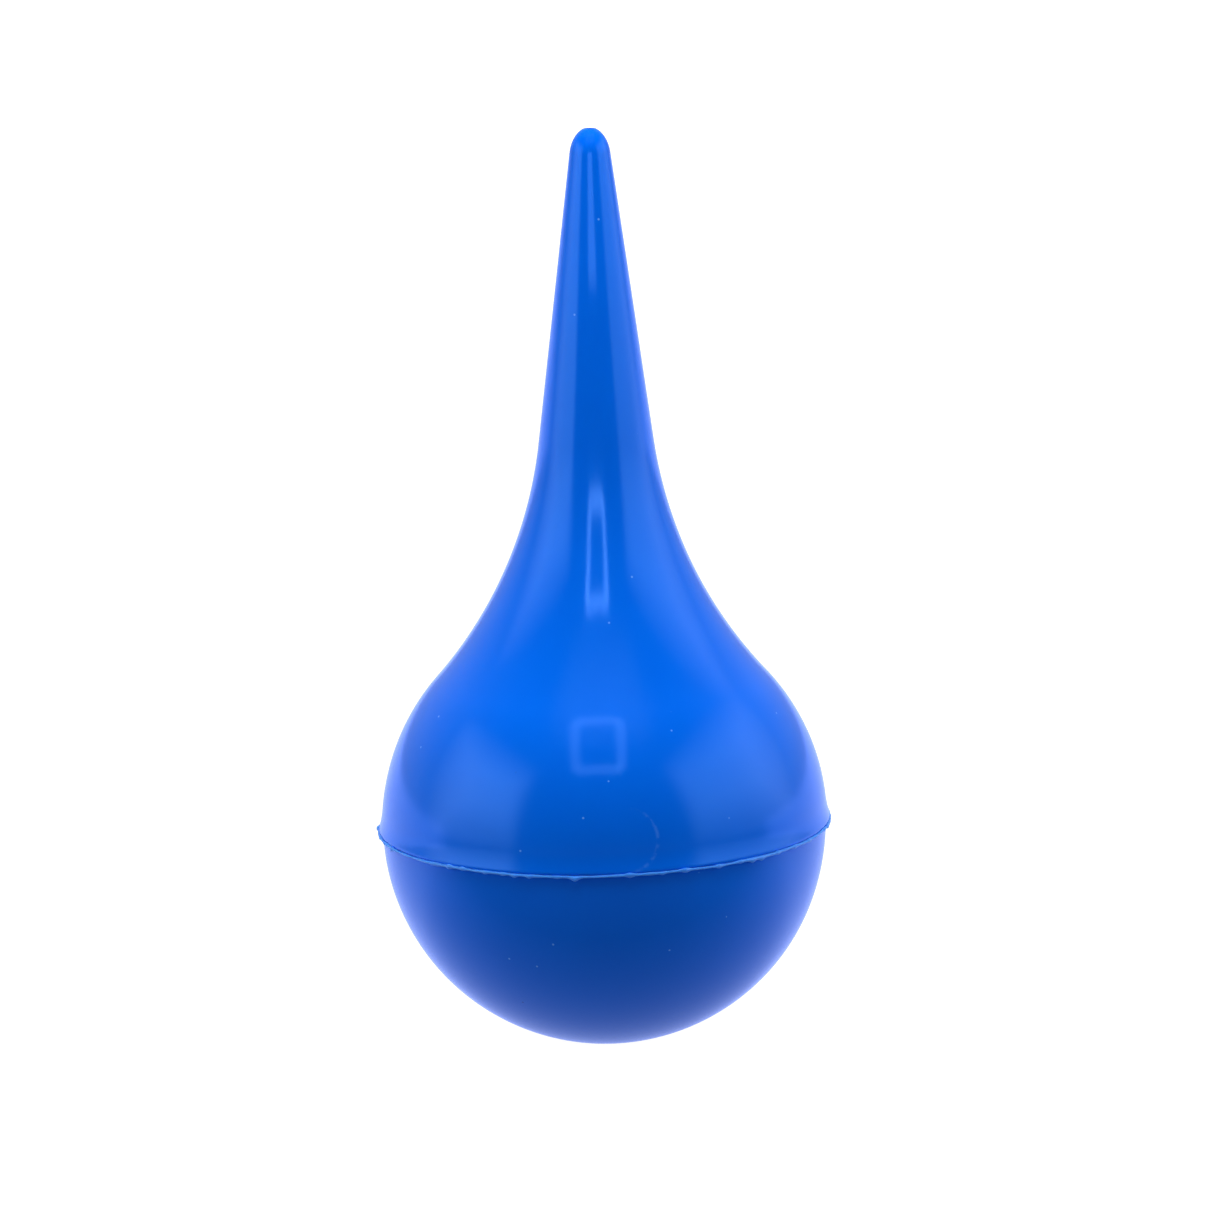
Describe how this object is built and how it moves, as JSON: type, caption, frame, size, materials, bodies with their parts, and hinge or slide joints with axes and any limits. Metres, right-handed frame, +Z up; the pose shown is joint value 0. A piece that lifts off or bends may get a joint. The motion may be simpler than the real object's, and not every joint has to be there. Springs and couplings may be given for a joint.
{
  "type": "nasal aspirator",
  "caption": "Squeeze-bulb nasal aspirator in soft rubber: a hollow round bulb that narrows into a long tapered nozzle with a domed tip and a small suction orifice.",
  "frame": {"origin": "centre of the flat foot under the bulb, on the surface the bulb stands on", "axes": "+Z up the common axis of bulb and nozzle, towards the tip; X and Y are any two directions across it"},
  "size_m": [0.0535, 0.0534, 0.1075],
  "materials": {
    "bulb_rubber": "soft moulded rubber, satin",
    "seam_rubber": "trimmed flash, paler where it is thin"
  },
  "bodies": {
    "base": {"base_shell": "bulb_rubber"},
    "nozzle": {"nozzle_shell": "bulb_rubber", "seam_flash": "seam_rubber"}
  },
  "joints": [
    {"name": "squeeze", "type": "slide", "parent": "base", "child": "nozzle", "axis": [0, 0, -1], "range_m": [0, 0.015], "stiffness_N_per_m": 1500, "deforming": ["base_shell"]}
  ]
}
